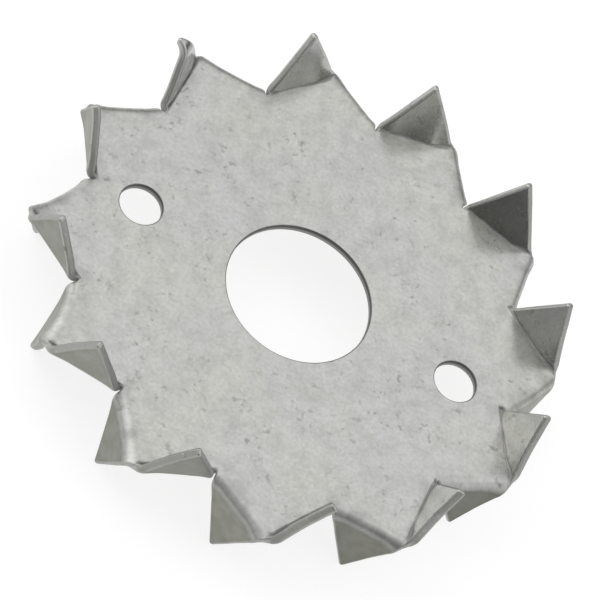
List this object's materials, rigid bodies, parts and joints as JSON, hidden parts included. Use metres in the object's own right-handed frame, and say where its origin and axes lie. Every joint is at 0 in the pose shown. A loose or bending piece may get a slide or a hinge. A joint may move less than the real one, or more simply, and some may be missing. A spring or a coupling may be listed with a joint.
{
  "type": "toothed plate connector",
  "caption": "Round double-sided toothed plate for a bolted timber joint: a flat galvanised steel plate with a bolt hole, nail holes and triangular teeth folded to both sides.",
  "frame": {"origin": "centre of the bolt hole at half the sheet's thickness", "axes": "+Z along the bolt hole, to the side of the upper teeth; +X through the two nail holes"},
  "size_m": [0.061, 0.061, 0.0159],
  "materials": {
    "galvanised_steel": "hot-dip zinc, soft grey mottling, half gloss"
  },
  "bodies": {
    "root": {"toothed_plate": "galvanised_steel"}
  },
  "joints": []
}
